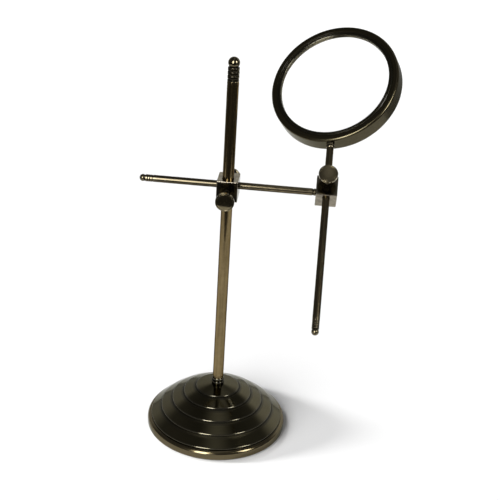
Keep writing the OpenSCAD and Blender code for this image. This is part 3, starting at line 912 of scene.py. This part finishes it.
def make_stud(name, node, reach, where):
    """A stud with a real thread: its radius follows the pitch round and along it."""
    length = KNOB_GAP + KNOB_T - KNOB_FACE_T - TIP_GAP + reach
    count, rows_per_turn = 40, 8
    rows = int(length / PITCH * rows_per_turn)
    verts, wear, grime_and_shade = [], [], []
    for i in range(rows + 1):
        z = -reach + length * i / rows
        fade = min(1.0, (z + reach) / 0.6)
        for k in range(count):
            phase = ((z + reach) / PITCH - k / count) % 1.0
            crest = 1 - abs(2 * phase - 1)
            r = (SCREW_R - THREAD_DEPTH + THREAD_DEPTH * crest) * (0.7 + 0.3 * fade)
            angle = math.tau * k / count
            verts.append((r * math.cos(angle), r * math.sin(angle), z))
            wear.append(crest)
            grime_and_shade.append(0.7 * (1 - crest))
    stud = mesh_object(name, verts, tube(rows + 1, count))
    put(stud, "wear", wear)
    put(stud, "grime_and_shade", grime_and_shade)
    finish_piece(stud, node, STEEL, where)


def make_screws():
    for prefix, (wall, turn) in SCREWS.items():
        where = at_screw(prefix + "_turn", turn)
        make_knob(prefix + "_head", prefix + "_knob", where)
        make_stud(prefix + "_thread", prefix + "_stud", wall - TIP_GAP, where)


# Lens


def glass_rise(r):
    """How far the glass stands out at radius r, over its edge."""
    return math.sqrt(GLASS_CURVE ** 2 - r * r) - math.sqrt(GLASS_CURVE ** 2 - GLASS_R ** 2)


def make_lens_frame(back, front):
    """The frame: a web under the glass, a skirt behind it and a rounded front shoulder."""
    ledge = -GLASS_EDGE / 2 - REST_GAP
    sill = ledge - glass_rise(SEAT_R) - REST_GAP
    web_back = sill - WEB_T
    skirt_r = FRAME_R - SKIRT_W
    skirt_top = web_back - 0.7 * (skirt_r - SEAT_R)
    bore, step_in = THREAD_R + SEAT_GAP, front - 0.35
    profile = [(SEAT_R, web_back + 0.4), (SEAT_R + 0.4, web_back), (skirt_r, skirt_top)]
    profile += [(skirt_r, back + 0.4), (skirt_r + 0.4, back), (FRAME_R - 0.8, back), (FRAME_R, back + 0.8)]
    profile += arc((FRAME_R - SHOULDER_R, front - SHOULDER_R), SHOULDER_R, 0, 90, 16)
    profile += [(THREAD_R + 0.9, front), (THREAD_R + 0.6, step_in), (bore, step_in)]
    profile += [(bore, ledge), (GLASS_R, ledge), (SEAT_R, sill)]
    # Painted shade in the joint with the retaining ring dulls its highlights
    joint = [(THREAD_R + 0.6, step_in), (THREAD_R, step_in)]
    body = lathe("lens_ring", profile, edge=0.2, closed=True, segments=256, shaded_at=joint, shade_reach=0.6)
    finish_piece(body, "lens_frame", RING, AT_LENS)


def make_retainer(front):
    """The grooved ring that holds the glass, with a rounded inner lip."""
    low = GLASS_EDGE / 2 + REST_GAP
    sill = low + glass_rise(CLEAR_R) + REST_GAP
    groove = [(THREAD_R - 1.1, front - 0.4), (THREAD_R - 1.4, front - 0.4)]
    rim = (THREAD_R, front - 0.3)
    ring = [(CLEAR_R, sill), (GLASS_R, low), (THREAD_R, low), rim, (THREAD_R - 0.3, front)]
    ring += [(THREAD_R - 0.9, front), *groove, (THREAD_R - 1.6, front - 0.1)]
    ring += arc((CLEAR_R + 0.75, front - 0.7), LIP_BEND, 90, 170, 12)
    ring.append((CLEAR_R, sill + 0.3))
    # Painted shade in the groove and at the outer rim dulls their highlights
    shaded_at = [*groove, rim]
    retainer = lathe("retaining_ring", ring, edge=0.1, closed=True, segments=256, shaded_at=shaded_at, shade_reach=0.5)
    finish_piece(retainer, "lens_retainer", DARK, AT_LENS)


def make_glass():
    steps, edge = 24, GLASS_EDGE / 2
    radii = [GLASS_R * (steps - i) / steps for i in range(1, steps)]
    under = [(r, -edge - glass_rise(r)) for r in (0, *reversed(radii))]
    over = [(r, edge + glass_rise(r)) for r in (*radii, 0)]
    lens = lathe("lens", [*under, (GLASS_R, -edge), (GLASS_R, edge), *over], edge=0.2, segments=192)
    lens.visible_shadow = False
    finish_piece(lens, "lens_glass", GLASS, AT_LENS)


def make_lens():
    make_lens_frame(FRAME_FRONT - FRAME_T, FRAME_FRONT)
    make_retainer(FRAME_FRONT)
    make_glass()


def dress_inside():
    """Gives their materials to the pieces that stay as they were packed."""
    inside = {"base_weight": IRON, "base_plate": STEEL, "post_washer": STEEL, "post_nut": STEEL}
    for node, material in inside.items():
        slots = frame["nodes"][node].data.materials
        slots.clear()
        slots.append(material)


# Studio

FLOOR_TONE = 0.8
FLOOR_GLOW = 0.05
FLOOR_DROP = 0.0002
# What the lens takes from the white behind it
LENS_GLOW = 0.12
# What the object shows of the room, from the floor up: the floor beyond the sheet and the foot of the pale
# sweep; the sweep behind the stand, and a patch in front on the left; the dark room; and a soft strip
# overhead, which runs from front to back and fades to its sides
ROOM_LOW = 0.05
SWEEP_FOOT = 0.3
SWEEP_LEFT = 0.62
SWEEP_RIGHT = 0.95
FRONT_PATCH = 1.3
ROOM = 0.13
CEILING = 0.42
CEILING_SIDE = 0.2
# What matt surfaces get from all round
DAYLIGHT = 0.08
# Area lights, aimed at this height from this distance, in metres
LAMP_AIM = 0.15
LAMP_DISTANCE = 1.5
LAMP_RADIANCE = 16.0
# The camera: its place in metres, its turn in degrees, and its lens and sensor in millimetres
CAMERA_AT = (0.07157, -0.81007, 0.56564)
CAMERA_TURN = (3.44, 25.1, 3.63)
CAMERA_LENS = 72
CAMERA_SENSOR = 36


def any_ray(nodes, links, *kinds):
    """1 for a ray of any of these kinds."""
    rays = nodes.new("ShaderNodeLightPath")
    found = rays.outputs[f"Is {kinds[0]} Ray"]
    for kind in kinds[1:]:
        either = nodes.new("ShaderNodeMath")
        either.operation = "MAXIMUM"
        links.new(found, either.inputs[0])
        links.new(rays.outputs[f"Is {kind} Ray"], either.inputs[1])
        found = either.outputs[0]
    return found


def make_floor():
    """A pale sheet whose front edge is near, with a dark room in front of it."""
    left, right, front, back = -0.62, 0.62, -0.42, 1.2
    mesh = bpy.data.meshes.new("floor")
    corners = [(left, front), (right, front), (right, back), (left, back)]
    mesh.from_pydata([(x, y, -FLOOR_DROP) for x, y in corners], [], [(0, 1, 2, 3)])
    floor = bpy.data.objects.new("floor", mesh)
    bpy.context.scene.collection.objects.link(floor)
    material = bpy.data.materials.new("pale_floor")
    material.use_nodes = True
    nodes, links = material.node_tree.nodes, material.node_tree.links
    nodes.clear()
    paper = nodes.new("ShaderNodeBsdfDiffuse")
    paper.inputs["Color"].default_value = (FLOOR_TONE, FLOOR_TONE, FLOOR_TONE, 1)
    glow = nodes.new("ShaderNodeEmission")
    strength = nodes.new("ShaderNodeMath")
    strength.operation = "MULTIPLY_ADD"
    links.new(any_ray(nodes, links, "Transmission"), strength.inputs[0])
    strength.inputs[1].default_value = LENS_GLOW
    seen = nodes.new("ShaderNodeMath")
    seen.operation = "MULTIPLY"
    links.new(any_ray(nodes, links, "Camera", "Glossy", "Transmission"), seen.inputs[0])
    seen.inputs[1].default_value = FLOOR_GLOW
    links.new(seen.outputs[0], strength.inputs[2])
    links.new(strength.outputs[0], glow.inputs["Strength"])
    both = nodes.new("ShaderNodeAddShader")
    links.new(paper.outputs[0], both.inputs[0])
    links.new(glow.outputs[0], both.inputs[1])
    out = nodes.new("ShaderNodeOutputMaterial")
    links.new(both.outputs[0], out.inputs["Surface"])
    mesh.materials.append(material)
    return floor


def make_world():
    """White to the camera, even daylight to matt surfaces, and the room to the metal."""
    world = bpy.data.worlds.new("studio")
    bpy.context.scene.world = world
    world.use_nodes = True
    tree = world.node_tree
    nodes, links = tree.nodes, tree.links
    nodes.clear()

    def fill(socket, value):
        if isinstance(value, bpy.types.NodeSocket):
            links.new(value, socket)
        else:
            socket.default_value = value

    def ramp(value, low, high, to_low, to_high):
        made = nodes.new("ShaderNodeMapRange")
        made.interpolation_type = "SMOOTHSTEP"
        inputs = {"Value": value, "From Min": low, "From Max": high, "To Min": to_low, "To Max": to_high}
        for key, item in inputs.items():
            fill(made.inputs[key], item)
        return made.outputs["Result"]

    def maths(operation, a, b=0.0):
        made = nodes.new("ShaderNodeMath")
        made.operation = operation
        fill(made.inputs[0], a)
        fill(made.inputs[1], b)
        return made.outputs[0]

    def choose(factor, a, b):
        made = nodes.new("ShaderNodeMix")
        for key, item in (("Factor", factor), ("A", a), ("B", b)):
            fill(made.inputs[key], item)
        return made.outputs["Result"]

    def height(degrees):
        """How far up a direction points that rises by so many degrees."""
        return math.sin(math.radians(degrees))

    # A direction's shares to the right, to the back and up; the ramps below run over these, and over the sine
    # of an elevation where they use height
    direction = nodes.new("ShaderNodeSeparateXYZ")
    links.new(nodes.new("ShaderNodeTexCoord").outputs["Generated"], direction.inputs[0])
    side, back, up = direction.outputs
    sweep = ramp(side, -0.5, 0.4, SWEEP_LEFT, SWEEP_RIGHT)
    # The patch lies low in front, on the left, and fades out just right of the middle
    patch = maths("MULTIPLY", ramp(back, -0.86, -0.93, 0.0, FRONT_PATCH), ramp(side, 0.14, 0.0, 0.0, 1.0))
    patch = maths("MULTIPLY", patch, ramp(up, height(2), height(12), 0.0, 1.0))
    # Over the horizon the sweep takes the back half, and the floor's far part fades into it below
    above = maths("ADD", ramp(back, 0.2, 0.65, ROOM, sweep), patch)
    level = ramp(up, height(-3), height(6), ramp(back, -0.1, 0.5, ROOM_LOW, SWEEP_FOOT), above)
    # Above the sweep the room is dark, up to the strip, which starts a little lower at the back
    level = ramp(up, height(32), height(46), level, ROOM)
    off_middle = maths("ABSOLUTE", maths("SUBTRACT", side, 0.05))
    strip = ramp(off_middle, 0.0, 0.36, CEILING, CEILING_SIDE * CEILING)
    level = ramp(maths("ADD", up, maths("MULTIPLY", back, 0.12)), 0.70, 0.95, level, strip)
    level = choose(any_ray(nodes, links, "Diffuse"), level, DAYLIGHT)
    level = choose(any_ray(nodes, links, "Camera", "Transmission"), level, 1.0 + LENS_GLOW)
    background = nodes.new("ShaderNodeBackground")
    background.inputs["Color"].default_value = (1, 1, 1, 1)
    links.new(level, background.inputs["Strength"])
    out = nodes.new("ShaderNodeOutputWorld")
    links.new(background.outputs[0], out.inputs["Surface"])


def from_above(azimuth, elevation):
    """The direction towards a lamp, azimuth degrees right of the front."""
    a, e = math.radians(azimuth), math.radians(elevation)
    return Vector((math.sin(a) * math.cos(e), -math.cos(a) * math.cos(e), math.sin(e)))


def add_lamp(data, towards):
    lamp = bpy.data.objects.new(data.name, data)
    bpy.context.scene.collection.objects.link(lamp)
    lamp.rotation_mode = "QUATERNION"
    lamp.rotation_quaternion = (-towards).to_track_quat("-Z", "Y")
    return lamp


def softbox(name, azimuth, elevation, width, height, floor):
    """An area light aimed at the middle of the stand. It leaves the floor alone, so its white stays even."""
    data = bpy.data.lights.new(name, "AREA")
    data.shape = "RECTANGLE"
    data.size, data.size_y = width, height
    data.energy = LAMP_RADIANCE * math.pi * width * height
    towards = from_above(azimuth, elevation)
    lamp = add_lamp(data, towards)
    lamp.location = Vector((0, 0, LAMP_AIM)) + towards * LAMP_DISTANCE
    lit = bpy.data.collections.new(name + "_lit")
    lit.objects.link(floor)
    lit.collection_objects[0].light_linking.link_state = "EXCLUDE"
    lamp.light_linking.receiver_collection = lit


def floor_light(name, azimuth, elevation, width, share, floor, blockers):
    """A soft light for the floor alone, on which only the base throws a shadow.

    width is its angle in degrees, and share is its part of the floor's white.
    """
    data = bpy.data.lights.new(name, "SUN")
    data.angle = math.radians(width)
    data.energy = share * math.pi / (FLOOR_TONE * math.sin(math.radians(elevation)))
    lamp = add_lamp(data, from_above(azimuth, elevation))
    lit = bpy.data.collections.new(name + "_lit")
    lit.objects.link(floor)
    lamp.light_linking.receiver_collection = lit
    shading = bpy.data.collections.new(name + "_blockers")
    for blocker in blockers:
        shading.objects.link(blocker)
    lamp.light_linking.blocker_collection = shading


def make_camera():
    yaw, pitch, roll = (math.radians(v) for v in CAMERA_TURN)
    data = bpy.data.cameras.new("camera")
    data.lens, data.sensor_width = CAMERA_LENS, CAMERA_SENSOR
    camera = bpy.data.objects.new("camera", data)
    bpy.context.scene.collection.objects.link(camera)
    ahead = Vector((-math.sin(yaw) * math.cos(pitch), math.cos(yaw) * math.cos(pitch), -math.sin(pitch)))
    right = Vector((math.cos(yaw), math.sin(yaw), 0))
    over = right.cross(ahead)
    x = right * math.cos(roll) + over * math.sin(roll)
    y = -right * math.sin(roll) + over * math.cos(roll)
    matrix = Matrix((x, y, -ahead)).transposed().to_4x4()
    matrix.translation = Vector(CAMERA_AT)
    camera.matrix_world = matrix
    bpy.context.scene.camera = camera


make_camera()
make_world()
stage_floor = make_floor()
softbox("left_softbox", -15.5, 25, 0.5, 1.2, stage_floor)
softbox("right_softbox", 58, 30, 0.34, 0.8, stage_floor)
bpy.context.scene.view_settings.view_transform = "Standard"

base_pieces = make_base()
floor_light("side_light", -87, 18, 10, 0.31, stage_floor, base_pieces)
floor_light("front_light", -34, 20, 50, 0.46, stage_floor, base_pieces)
floor_light("high_light", -110, 50, 12, 0.15, stage_floor, base_pieces)
make_collar()
make_bars()
make_blocks()
make_screws()
make_lens()
dress_inside()
